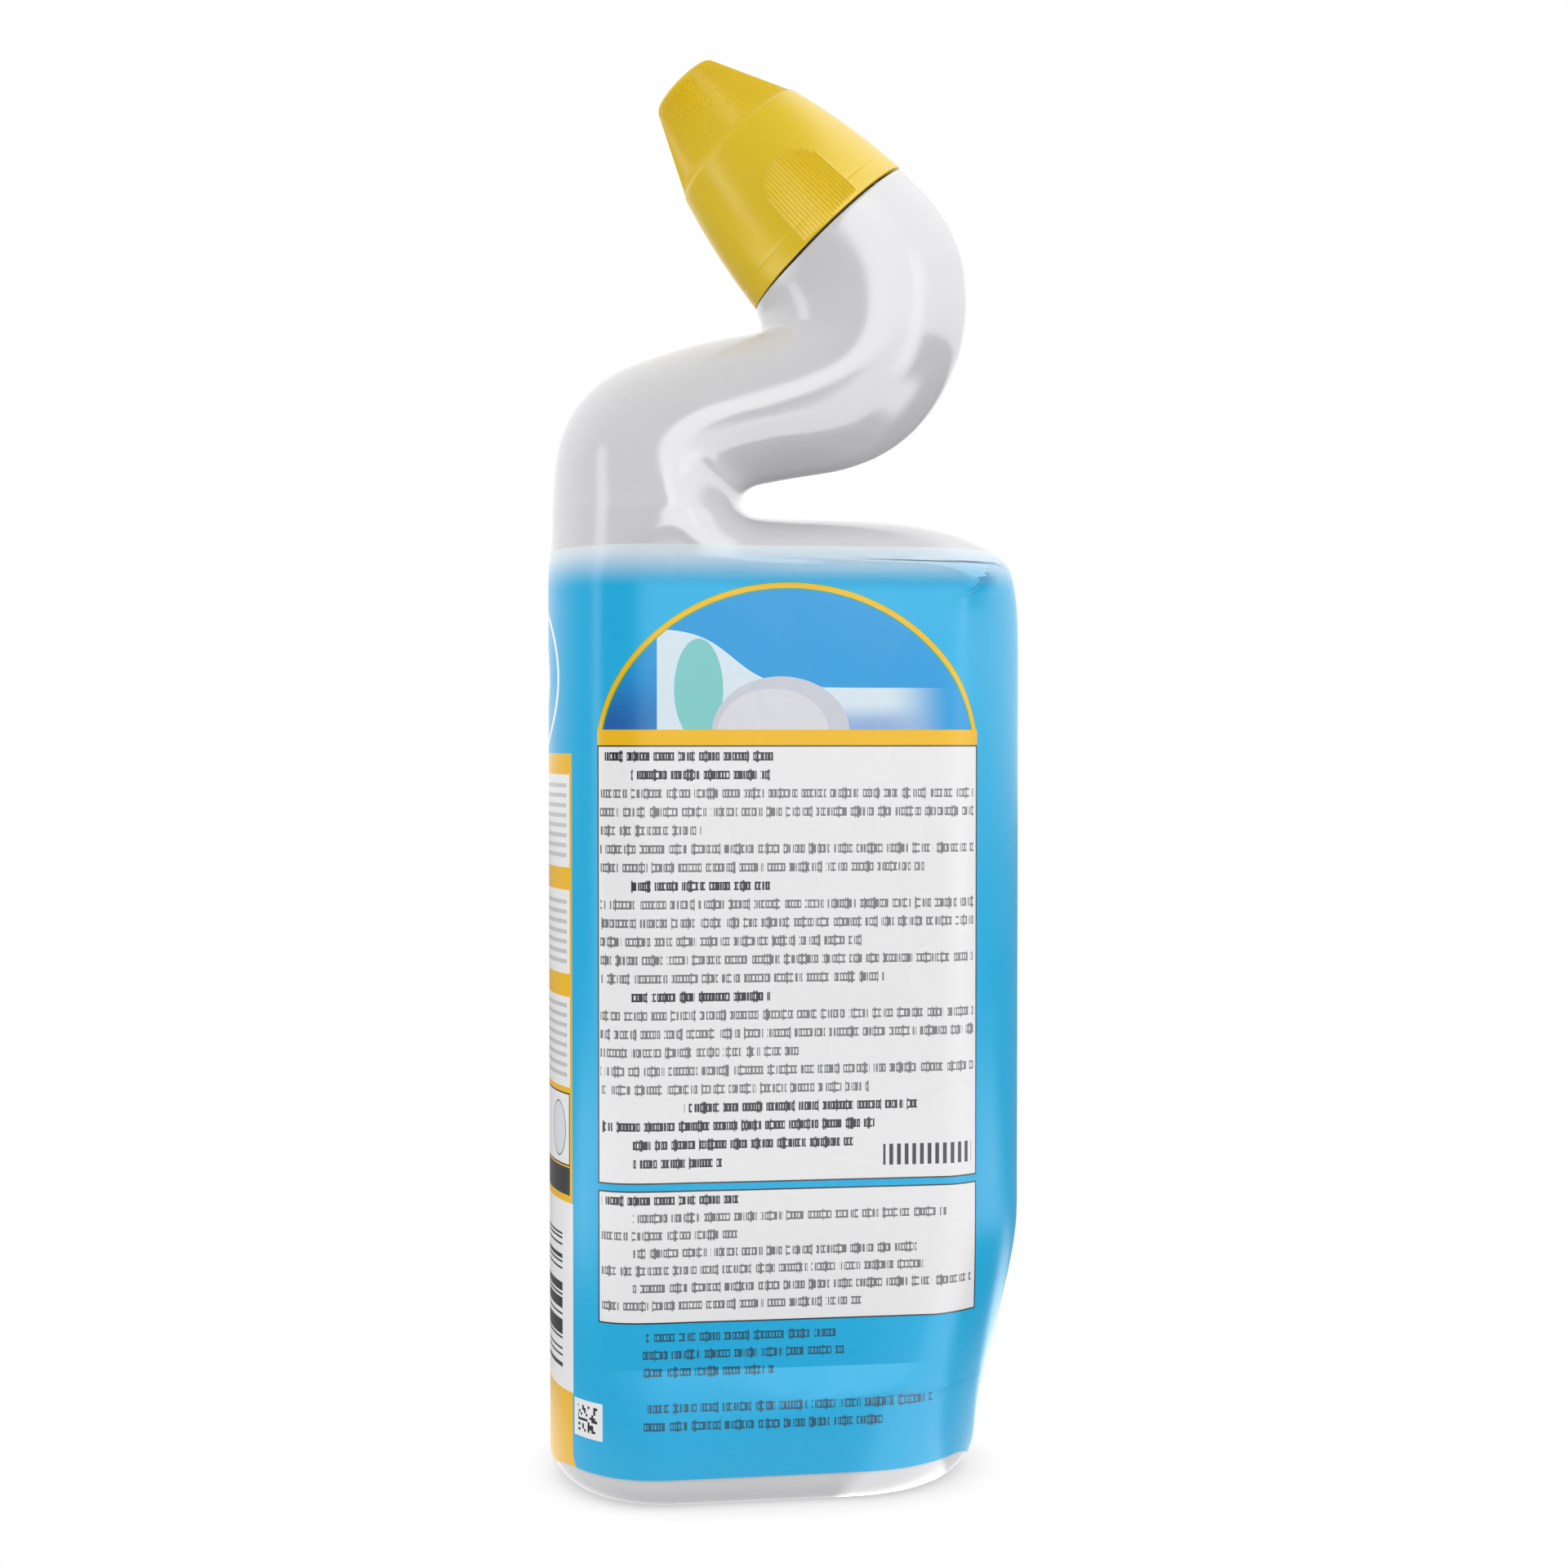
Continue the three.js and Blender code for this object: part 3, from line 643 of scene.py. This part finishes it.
    def picture(self, tree: bpy.types.NodeTree, colour: Any, u: Any, z: Any) -> Any:
        """Arch with a yellow ring round a plain water scene: deep blue ground and a pale swell."""
        cu, cz, a, b = self.arch
        foot = self.facts[1]
        above = ("GREATER_THAN", z, foot + self.band)
        for grow, code in ((0.12, "57a83c"), (0.0, self.yellow), (-self.ring, "57a83c")):
            shape = ("MULTIPLY", above, self.oval(u, z, (cu, cz), (a + grow * 0.85, b + grow)))
            colour = self.lay(tree, colour, shape, code)
        colour = self.lay(tree, colour, self.inside(u, z, (*self.box, foot, foot + self.band)), self.yellow)
        within = self.oval(u, z, (cu, cz), (a - self.ring - 0.1, b - self.ring - 0.15))
        scene = calc(tree, ("MULTIPLY", above, within))
        deep = add(tree, "MapRange", z, 160.0, 147.0, 0.0, 0.9, interpolation_type="SMOOTHSTEP")
        left = add(tree, "MapRange", u, -12.0, -34.0, 0.0, 1.0, interpolation_type="SMOOTHSTEP")
        water = add(tree, "MixRGB", calc(tree, ("MULTIPLY", deep, left)), ink("0c96d6"), ink("1c57a6"))
        fall = ("ADD", ("EXPONENT", ("DIVIDE", ("ADD", u, 10.5), 3.4)), 1.0)
        crest = ("ADD", ("DIVIDE", 11.0, fall), 154.4)
        reach = add(tree, "MapRange", u, 31.0, 18.0, 0.0, 1.0, interpolation_type="SMOOTHSTEP")
        swell = ("MULTIPLY", ("MULTIPLY", ("LESS_THAN", z, crest), ("GREATER_THAN", u, -24.8)), reach)
        water = self.lay(tree, water, swell, "d9e9f2")
        shade = add(tree, "MapRange", z, 152.0, 147.0, 0.0, 0.75, interpolation_type="SMOOTHSTEP")
        trough = ("MULTIPLY", ("MULTIPLY", shade, reach), ("GREATER_THAN", u, 8.0))
        water = self.lay(tree, water, trough, "5f8fce")
        for centre, size, code in (
            ((-17.0, 154.0), (4.6, 9.5), "7cc8c6"),
            ((-1.5, 146.0), (13.0, 10.5), "c9ccd6"),
            ((-3.0, 146.0), (10.5, 8.2), "dadbe1"),
        ):
            water = self.lay(tree, water, self.oval(u, z, centre, size), code)
        return add(tree, "MixRGB", scene, colour, water)

    def greeked(self, tree: bpy.types.NodeTree, u: Any, z: Any, block: TextBlock) -> tuple:
        """Mask of lines of stand-in letters, with word gaps and ragged ends.

        Args:
            tree: Node tree.
            u: Place round the body in millimetres.
            z: Height in millimetres.
            block: The lines.

        Returns:
            The expression of the mask.
        """
        count = len(block.lines)
        place = calc(tree, ("DIVIDE", ("SUBTRACT", block.top + block.pitch / 2, z), block.pitch))
        line = calc(tree, ("FLOOR", place))
        table = add(tree, "ValToRGB", calc(tree, ("DIVIDE", ("ADD", line, 0.5), count)))
        ramp = table.color_ramp
        ramp.interpolation = "CONSTANT"
        while len(ramp.elements) < count:
            ramp.elements.new(1.0)
        for k, (start, end, weight) in enumerate(block.lines):
            ramp.elements[k].position = k / count
            ramp.elements[k].color = ((start + 40) / 80, (end + 40) / 80, weight, 1)
        parts = add(tree, "SeparateColor", table)
        at = calc(tree, ("DIVIDE", ("ADD", u, 40.0), 80.0))
        span = ("MULTIPLY", ("GREATER_THAN", at, parts.outputs[0]), ("LESS_THAN", at, parts.outputs[1]))
        shift = calc(tree, ("ADD", ("DIVIDE", u, 5.2), ("MULTIPLY", line, 17.3)))
        gaps = add(tree, "TexVoronoi", voronoi_dimensions="1D", feature="DISTANCE_TO_EDGE", W=shift, Scale=1.0)
        wobble = add(tree, "TexNoise", noise_dimensions="1D", W=calc(tree, ("MULTIPLY", shift, 3.1)), Scale=1.0)
        stroke = ("FRACT", ("ADD", ("DIVIDE", u, 0.62), ("MULTIPLY", wobble, 3.0)))
        inked = ("LESS_THAN", stroke, ("ADD", 0.5, ("MULTIPLY", parts.outputs[2], 0.25)))
        level = calc(tree, ("ABSOLUTE", ("SUBTRACT", ("FRACT", place), 0.5)))
        curve = ("MULTIPLY", ("COMPARE", level, 0.19, 0.06), ("GREATER_THAN", wobble, 0.45))
        band = ("LESS_THAN", level, ("ADD", 0.23, ("MULTIPLY", ("GREATER_THAN", wobble, 0.6), 0.09)))
        letters = ("MULTIPLY", ("MAXIMUM", inked, curve), ("MULTIPLY", band, ("GREATER_THAN", gaps, 0.07)))
        rows = ("MULTIPLY", ("GREATER_THAN", place, 0.0), ("LESS_THAN", place, float(count)))
        depth = ("ADD", 0.8, ("MULTIPLY", parts.outputs[2], 0.2))
        return ("MULTIPLY", ("MULTIPLY", letters, span), ("MULTIPLY", rows, depth))

    def code(self, tree: bpy.types.NodeTree, colour: Any, u: Any, z: Any) -> Any:
        """Small square of chance cells on a white patch."""
        cell = 0.5
        colour = self.lay(tree, colour, self.inside(u, z, (-42.9, -35.3, 12.4, 19.5)), self.paper)
        column, level = [calc(tree, ("FLOOR", ("DIVIDE", place, cell))) for place in (u, z)]
        chance = add(tree, "TexWhiteNoise", add(tree, "CombineXYZ", column, level), noise_dimensions="2D")
        dots = ("MULTIPLY", ("GREATER_THAN", chance.outputs[0], 0.52),
                self.inside(u, z, (-41.7, -36.5, 13.5, 18.5)))
        return self.lay(tree, colour, dots, self.black)


FULL = (-35.6, 35.9)
BOLD = (-29.6, -3.6, 1.0)
FACT_LINES = TextBlock(141.5, 3.47, (
    (-35.2, -3.0, 1.0), BOLD, (*FULL, 0.0), (*FULL, 0.0), (-35.6, -16.5, 0.0), (*FULL, 0.0),
    (-35.6, 25.8, 0.0), BOLD, (*FULL, 0.0), (*FULL, 0.0), (-35.6, 13.8, 0.0), (*FULL, 0.0),
    (-35.6, 18.6, 0.0), BOLD, (*FULL, 0.0), (*FULL, 0.0), (-35.6, 1.8, 0.0), (*FULL, 0.0),
    (-35.6, 15.2, 0.0), (-19.8, 24.5, 1.0), (-35.2, 16.3, 1.0), (-29.4, 12.2, 1.0), (-29.4, -12.6, 1.0),
))
CONTENT_LINES = TextBlock(58.2, 3.3, (
    (-35.4, -9.6, 1.0), (-29.4, 30.4, 0.1), (-35.4, -9.8, 0.0), (-29.4, 24.5, 0.1),
    (-35.4, 25.8, 0.0), (-29.4, 35.6, 0.1), (-35.4, 13.8, 0.0),
))
NOTE_LINES = TextBlock(32.4, 3.3, (
    (-27.0, 9.4, 0.1), (-27.6, 10.5, 0.1), (-27.6, -2.9, 0.1), (40.0, 40.0, 0.0),
    (-26.8, 27.6, 0.1), (-27.4, 18.6, 0.1),
))


# ---------------------------------------------------------------- pieces


@dataclass(frozen=True)
class BlownBottle:
    """The bottle: base, body, hooked neck and threaded finish, with its inner wall."""

    form: BottleForm
    fit: CapFit
    wall: float = 0.9
    push_up: float = 2.0
    gap: float = 0.5
    finish: float = 12.6
    bore: float = 11.0
    tall: float = 15.5
    thread_start: float = 4.2
    thread_width: float = 1.9

    def build(self) -> None:
        """Makes the bottle and installs it."""
        t = self.form.places()
        body = self.form.surface(t, self.form.angles(t))
        centre = np.array((-5.0, 0, 0))
        base = []
        for size, z in (
            (0, 1), (0.35, 1), (0.7, 0.95), (0.8, 0.85), (0.86, 0.6), (0.9, 0.175), (0.93, 0.04), (0.96, 0)
        ):
            ring = centre + (body[0] - centre) * size
            ring[:, 2] = z * self.push_up
            base.append(ring)
        count = body.shape[1]
        neck = [self.fit.ring(r, s, count) for r, s in self.neck_profile()]
        outer = np.array([*base, *body[:-1]])
        inner = outer - outward(outer) * self.wall
        inner[0] = inner[0].mean(0)
        rings = np.array([*outer, *neck, *inner[:-4][::-1]])
        bm = bmesh.new()
        bend_grid(bm, rings)
        ScrewThread(self.fit).wind(bm, self.finish, self.thread_start, self.thread_width, Side.OUT)
        install(finish_mesh(bm, "blown_bottle"), "bottle", "bottle", BlownPolyethylene().build())

    def neck_profile(self) -> list[tuple[float, float]]:
        """Radius and height of the web under the cap, the finish and the bore."""
        rim, low = self.fit.rim, -self.gap
        return [
            (rim - 0.02, low - 0.35), (rim - 0.12, low - 0.1), (rim - 0.35, low),
            (self.finish + 0.5, low), (self.finish + 0.12, low + 0.12), (self.finish, low + 0.5),
            (self.finish, self.tall - 0.4),
            (self.finish - 0.12, self.tall - 0.12), (self.finish - 0.4, self.tall),
            (self.bore + 0.3, self.tall), (self.bore, self.tall - 0.3), (self.bore, low - self.wall),
            (self.bore + 0.5, low - self.wall - 0.5), (rim - self.wall - 0.9, low - self.wall - 0.5),
            (rim - self.wall, low - self.wall - 1.6),
        ]


@dataclass(frozen=True)
class ShrinkSleeve:
    """The printed film, dipping under the heel at both narrow ends."""

    form: BottleForm
    gap: float = 0.12
    thickness: float = 0.22
    low_at_ends: float = 2.2
    low_on_faces: float = 6.0
    snug_from: float = 178.5
    snug_over: float = 2.0
    girth: float = 243.8

    def build(self) -> None:
        """Makes the sleeve with its print chart and installs it."""
        form = self.form
        t = form.places()
        t = t[(t >= form.row_at(np.array(self.low_at_ends))) & (t <= form.film_row)]
        angle = form.angles(t)
        level = form.rows(t)[:, 1] * form.shoulder / 100
        bow = np.clip(2 * np.abs(np.sin(angle)), 0, 1)
        edge = self.low_at_ends + (self.low_on_faces - self.low_at_ends) * bow * bow * (3 - 2 * bow)
        ledge = form.panel_bottom
        z = level[:, None] + 0 * angle
        z = np.where(z < ledge, edge + (z - self.low_at_ends) * (ledge - edge) / (ledge - self.low_at_ends), z)
        wall = form.surface(form.row_at(z), angle)
        normal = outward(wall)
        snug = 1 - 0.8 * np.clip((z - self.snug_from) / self.snug_over, 0, 1)[..., None]
        snug = np.concatenate([snug, snug[:, -2::-1]], 1)
        outside = wall + normal * (self.gap + self.thickness) * snug
        inside = wall + normal * self.gap * snug**2
        chart = self.chart(wall, len(angle[0]))
        seam = form.columns + form.columns // 2
        order = np.r_[seam : wall.shape[1] - 1, 0 : seam + 1]
        rings = np.array([*outside[:, order], *inside[::-1][:, order], outside[0][order]])
        charts = np.array([*chart[:, order], *chart[::-1][:, order], chart[0][order]])
        start = len(wall[0]) - 1 - seam
        charts[:, :start, 0] -= self.girth
        bm = bmesh.new()
        bend_grid(bm, rings, charts)
        film = PrintedFilm().build()
        install(finish_mesh(bm, "printed_sleeve"), "shrink_sleeve", "bottle", film)

    def chart(self, wall: np.ndarray, front: int) -> np.ndarray:
        """Print coordinates: how far round the body each point lies, and its height.

        Args:
            wall: Rings of the wall.
            front: Number of columns of the front face.

        Returns:
            u and z in millimetres, u growing to the right and on round the back.
        """
        form = self.form
        s = np.linspace(-1, 1, 2001)
        row = form.row_at(np.array([100.0]))[:, None] + 0 * s
        x, half, _, _ = form.half(row, s[None])
        run = np.append(0, np.cumsum(np.hypot(np.diff(x[0]), np.diff(half[0]))))
        run -= np.interp(0, x[0], run)
        snug = np.clip((-30 - wall[..., 0]) / 16, 0, 1)
        left = wall[..., 0] - (wall[:, :1, 0] + form.half_width) * snug
        u = np.interp(left, x[0], run)
        back = np.arange(wall.shape[1]) >= front
        u = np.where(back, 2 * run[-1] - u, u)
        return np.stack([u, wall[..., 2]], -1)


@dataclass(frozen=True)
class ScrewCap:
    """The cap: barrel with finger pads, ribbed cone, inner skirt, web and sealing pin."""

    fit: CapFit
    height: float = 41.2
    tip: float = 7.1
    step_at: float = 25.3
    step_radius: float = 14.9
    step: float = 0.25
    wall: float = 1.4
    ribs: int = 160
    rib_depth: float = 0.17
    pad_width: float = 14.3
    pad_height: float = 16.0
    pad_lift: float = 0.26
    skirt: float = 14.0
    thread_start: float = 7.3
    thread_width: float = 1.6

    def radius(self, s: float) -> float:
        """Outer radius at a height above the rim."""
        if s > self.step_at:
            part = (s - self.step_at) / (self.height - self.step_at)
            return (self.step_radius - self.step) * (1 - part) + self.tip * part
        part = s / self.step_at
        groove = 0.07 * math.exp(-(((s - 3.8) / 0.22) ** 2))
        return self.fit.rim + (self.step_radius - self.fit.rim) * (0.47 * part + 0.53 * part**2) - groove

    def outside(self) -> list[tuple[float, float]]:
        """Profile from the crown's middle down to the rim."""
        crown = [(0, 42.0), (2.4, 41.93), (4.6, 41.72), (6.1, 41.48), (6.75, 41.3), (7.0, 41.05)]
        cone = [(self.radius(s), s) for s in np.linspace(40.7, 25.75, 12)]
        shoulder = [(14.62, 25.5), (14.68, 25.36), (14.84, 25.28), (14.92, 25.1)]
        barrel = [(self.radius(s), s) for s in (*np.arange(24.6, 17.5, -0.6), *np.arange(17.2, 0.2, -0.22))]
        rim = self.fit.rim
        return [*crown, *cone, *shoulder, *barrel, (self.radius(0.2), 0.2), (rim - 0.05, 0.06), (rim - 0.2, 0)]

    def inside(self) -> list[tuple[float, float]]:
        """Profile from the rim up the inner wall, skirt, web and cavity to the sealing pin."""
        web, skirt = 18.4, self.skirt
        wall = [(self.radius(s) - self.wall, s) for s in (0.5, 6, 12, web)]
        hollow = [(self.radius(s) - self.wall - 0.3, s) for s in (25, 31, self.height - 1.6)]
        return [
            (self.fit.rim - self.wall, 0), *wall, (skirt + 1.1, web), (skirt + 1.1, 1.6), (skirt + 1, 1.5),
            (skirt, 1.5), (skirt, web), (8.8, web), (8.8, web + 1.4), (self.radius(20) - self.wall, web + 1.6),
            *hollow, (2.5, self.height - 1.2), (2.5, 33.3), (1.4, 31.8), (1.4, 29.0), (1.1, 28.8), (0, 28.8),
        ]

    def build(self) -> None:
        """Makes the cap and installs it."""
        bm = bmesh.new()
        points = [bm.verts.new((r, 0, s)) for r, s in (*self.outside(), *self.inside())]
        edges = [bm.edges.new(pair) for pair in zip(points[:-1], points[1:])]
        bmesh.ops.spin(bm, geom=[*points, *edges], axis=(0, 0, 1), cent=(0, 0, 0), angle=2 * math.pi,
                       steps=self.ribs * 4, use_merge=True)
        bmesh.ops.remove_doubles(bm, verts=bm.verts, dist=1e-4)
        for vert in bm.verts:
            self.rib(vert)
        bm.transform(self.fit.place())
        ScrewThread(self.fit).wind(bm, self.skirt, self.thread_start, self.thread_width, Side.IN)
        install(finish_mesh(bm, "screw_cap", 50), "cap", "cap", MouldedPolypropylene().build())

    def rib(self, vert: bmesh.types.BMVert) -> None:
        """Draws the cone's flutes in and lifts the pad's ribs."""
        x, y, s = vert.co
        r = math.hypot(x, y)
        if r < 1 or s > 41.1 or s < 0.3 or abs(r - self.radius(s)) > 0.03:
            return
        angle = math.atan2(y, x)
        wave = 0.5 - 0.5 * math.cos(self.ribs * angle)
        if s > self.step_at + 0.1:
            shift = -self.rib_depth * wave
        else:
            u = (abs(angle) - math.pi / 2) * r
            straight = self.pad_height - self.pad_width / 2
            out = max(0, s - straight)
            inset = self.pad_width / 2 - math.hypot(u, out)
            shift = self.pad_lift * (1 - wave) * min(1, max(0, inset / 0.3)) * min(1, (s - 0.3) / 0.5)
        vert.co.x *= 1 + shift / r
        vert.co.y *= 1 + shift / r


@dataclass(frozen=True)
class InnerFittings:
    """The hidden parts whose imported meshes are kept: insert, liner and contents."""

    def dress(self) -> None:
        """Gives each kept node its material."""
        finishes = {
            "nozzle_insert": PlainResin("LDPE natural", "f0f0ec", 0.38, 0.8),
            "cap_liner": PlainResin("PE foam liner", "f3f3f3", 0.65, 0.25),
            "cleaning_gel": CleanerGel(),
        }
        for node, finish in finishes.items():
            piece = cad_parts[node]
            piece.data.materials.clear()
            piece.data.materials.append(finish.build())
            log.info("%s keeps its packed mesh", node)


@dataclass(frozen=True)
class Studio:
    """White sweep, camera and lights of a product shot."""

    camera_at: tuple[float, float, float] = (-16.62, -432.68, 145.8)
    yaw: float = 2.2
    pitch: float = 1.33
    lens: float = 50.0
    ambient: float = 0.9
    bright: float = 6.4
    dim: float = 0.35

    def build(self) -> None:
        """Sets the camera, the surroundings, the lamps and the floor."""
        scene = bpy.context.scene
        scene.view_settings.view_transform = "Standard"
        camera = bpy.data.objects.new("camera", bpy.data.cameras.new("camera"))
        camera.data.lens, camera.data.sensor_width = self.lens, 36
        camera.data.clip_start = 0.01
        camera.location = Vector(self.camera_at) * MM
        camera.rotation_euler = (math.radians(90 - self.pitch), 0, math.radians(-self.yaw))
        scene.collection.objects.link(camera)
        scene.camera = camera
        scene.world = self.surroundings()
        for name, at, aim, size, watts in (
            ("side card", (0.55, -0.35, 0.22), (0, 0, 0.12), (0.16, 0.6), 0.5),
            ("end card", (-0.62, -0.2, 0.2), (-0.03, 0, 0.12), (0.16, 0.6), 0.9),
            ("top card", (0.25, -0.5, 0.75), (0, 0, 0.2), (0.4, 0.3), 0.3),
        ):
            self.card(name, at, aim, size, watts)
        self.floor()

    def card(self, name: str, at: tuple, aim: tuple, size: tuple, watts: float) -> None:
        """Adds one rectangular softbox in metres, turned to a point."""
        lamp = bpy.data.lights.new(name, "AREA")
        lamp.shape, lamp.energy = "RECTANGLE", watts
        lamp.size, lamp.size_y = size
        box = bpy.data.objects.new(name, lamp)
        box.location = at
        box.rotation_euler = (Vector(aim) - Vector(at)).to_track_quat("-Z", "Y").to_euler()
        bpy.context.scene.collection.objects.link(box)

    def surroundings(self) -> bpy.types.World:
        """White to the camera, an even tent to diffuse light, a bright lower right in reflections."""
        world = bpy.data.worlds.new("tent")
        world.use_nodes = True
        tree = world.node_tree
        tree.nodes.clear()
        way = add(tree, "SeparateXYZ", add(tree, "TexCoord").outputs["Generated"])
        x, y, z = way.outputs
        lean = calc(tree, ("SUBTRACT", ("MULTIPLY", x, 0.906), ("MULTIPLY", z, 0.423)))
        card = add(tree, "MapRange", y, -0.9, 0.8, self.bright, 1.3)
        shade = add(tree, "MapRange", y, -0.2, 0.5, self.dim, 1.2)
        split = add(tree, "MapRange", lean, -0.1, -0.02, 0.0, 1.0, interpolation_type="SMOOTHSTEP")
        glossy = add(tree, "MixRGB", split, shade, card)
        diffuse = add(tree, "MapRange", lean, -1.0, 1.0, self.ambient, self.ambient * 1.1)
        path = add(tree, "LightPath")
        level = add(tree, "MixRGB", path.outputs["Is Glossy Ray"], diffuse, glossy)
        seen = add(tree, "MixRGB", path.outputs["Is Camera Ray"], level, (1.0, 1.0, 1.0, 1.0))
        add(tree, "OutputWorld", add(tree, "Background", seen, 1.0))
        return world

    def floor(self) -> bpy.types.Object:
        """White floor that darkens only where the bottle stands on it."""
        bm = bmesh.new()
        bmesh.ops.create_circle(bm, cap_ends=True, segments=96, radius=4.0)
        piece = finish_mesh(bm, "floor")
        material, tree, output = blank_material("White sweep")
        open_sky = add(tree, "AmbientOcclusion", Distance=0.02)
        shadow = add(tree, "MapRange", open_sky.outputs["AO"], 0.0, 0.7, 0.55, 1.0)
        shown = add(tree, "Emission", shadow, 1.0)
        path = add(tree, "LightPath")
        place = add(tree, "SeparateXYZ", add(tree, "TexCoord").outputs["Object"])
        x, y = place.outputs[0], place.outputs[1]
        aside = calc(tree, ("DIVIDE", x, ("MAXIMUM", ("ABSOLUTE", y), 0.001)))
        right = ("MULTIPLY", add(tree, "MapRange", aside, 0.35, 0.55), add(tree, "MapRange", aside, 3.2, 2.4))
        away = calc(tree, ("SQRT", ("ADD", ("MULTIPLY", x, x), ("MULTIPLY", y, y))))
        near = ("MULTIPLY", add(tree, "MapRange", away, 0.2, 0.27), add(tree, "MapRange", away, 0.6, 0.45))
        near = ("MAXIMUM", near, add(tree, "MapRange", away, 0.11, 0.07, 0.0, 0.22))
        front = add(tree, "MapRange", y, 0.12, 0.0)
        gleam = ("MULTIPLY", ("MAXIMUM", right, near), front)
        shine = calc(tree, ("ADD", 0.3, ("MULTIPLY", gleam, self.bright * 0.75)))
        level = add(tree, "MixRGB", path.outputs["Is Glossy Ray"], ink("c4c4c4"), shine)
        cast = add(tree, "Emission", level, 1.0)
        out = add(tree, "MixShader", path.outputs["Is Camera Ray"], cast, shown)
        tree.links.new(out.outputs[0], output.inputs[0])
        piece.data.materials.append(material)
        return piece


def main() -> None:
    """Builds every piece in order and logs it."""
    logging.basicConfig(level=logging.INFO, format="%(message)s")
    form, fit = BottleForm(), CapFit()
    BlownBottle(form, fit).build()
    ShrinkSleeve(form).build()
    ScrewCap(fit).build()
    InnerFittings().dress()
    Studio().build()


if __name__ == "__main__":
    main()
